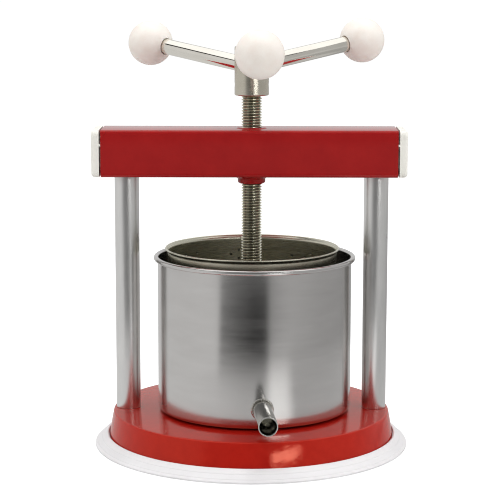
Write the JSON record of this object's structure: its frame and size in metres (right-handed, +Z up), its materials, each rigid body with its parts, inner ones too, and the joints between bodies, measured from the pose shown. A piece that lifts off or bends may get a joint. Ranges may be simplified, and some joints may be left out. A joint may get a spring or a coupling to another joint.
{
  "type": "cheese press",
  "caption": "Table-top screw press: enamelled base and crossbeam on two tube columns, spouted steel pot, perforated basket, and a hub with ball-ended arms.",
  "frame": {"origin": "on the screw's axis at table level, at the middle of the foot ring's underside", "axes": "+Z up along the screw, X along the crossbeam from column to column, -Y to the front where the spout points"},
  "size_m": [0.292, 0.2971, 0.3939],
  "materials": {
    "red_enamel": "gloss enamel",
    "white_moulding": "smooth moulded",
    "white_knob": "satin moulded",
    "white_cap": "satin moulded",
    "zinc_tube": "zinc plated, mottled",
    "plated_rod": "bright plated",
    "turned_steel": "turned and polished",
    "screw_steel": "yellowish plated thread",
    "fasteners": "zinc plated",
    "stainless_pot": "brushed around",
    "stainless_basket": "brushed around",
    "stainless_spout": "polished tube",
    "weld_metal": "bead of weld",
    "stainless_plate": "turned disc"
  },
  "bodies": {
    "frame": {"base_ring": "white_moulding", "base_plate": "red_enamel", "base_bolts": "fasteners", "base_washers": "fasteners", "column_left": "zinc_tube", "column_right": "zinc_tube", "column_inserts": "fasteners", "crossbeam": "red_enamel", "beam_bolts": "fasteners", "beam_washers": "fasteners", "end_cap_left": "white_cap", "end_cap_right": "white_cap", "beam_nut": "red_enamel", "weld_bead_lower": "red_enamel", "weld_bead_upper": "red_enamel"},
    "pot": {"container": "stainless_pot", "container_floor": "stainless_pot", "whey_spout": "stainless_spout", "spout_weld": "weld_metal"},
    "basket": {"basket_wall": "stainless_basket", "basket_floor": "stainless_basket"},
    "plate": {"press_plate": "stainless_plate", "plate_boss": "turned_steel", "plate_rivets": "fasteners", "plate_grub_screws": "fasteners"},
    "handle": {"screw": "screw_steel", "hub": "turned_steel", "hub_pin": "fasteners", "arm_front": "plated_rod", "arm_right": "plated_rod", "arm_left": "plated_rod", "knob_front": "white_knob", "knob_right": "white_knob", "knob_left": "white_knob"}
  },
  "joints": [
    {"name": "press_travel", "type": "slide", "parent": "frame", "child": "plate", "axis": [0, 0, 1], "range_m": [-0.0281, 0.1501]},
    {"name": "screw_turn", "type": "hinge", "parent": "plate", "child": "handle", "pos_m": [0, 0, 0.3], "axis": [0, 0, 1], "range_deg": [-3968.5, 21259.84]},
    {"name": "pot_turn", "type": "hinge", "parent": "frame", "child": "pot", "pos_m": [0, 0, 0.0323], "axis": [0, 0, 1], "range_deg": [-80, 70]},
    {"name": "basket_turn", "type": "hinge", "parent": "pot", "child": "basket", "pos_m": [0.0007, 0, 0.0331], "axis": [0, 0, 1], "continuous": true}
  ],
  "couplings": [
    {"joint": "press_travel", "follows": "screw_turn", "m_per_rad": 0.00040425}
  ]
}
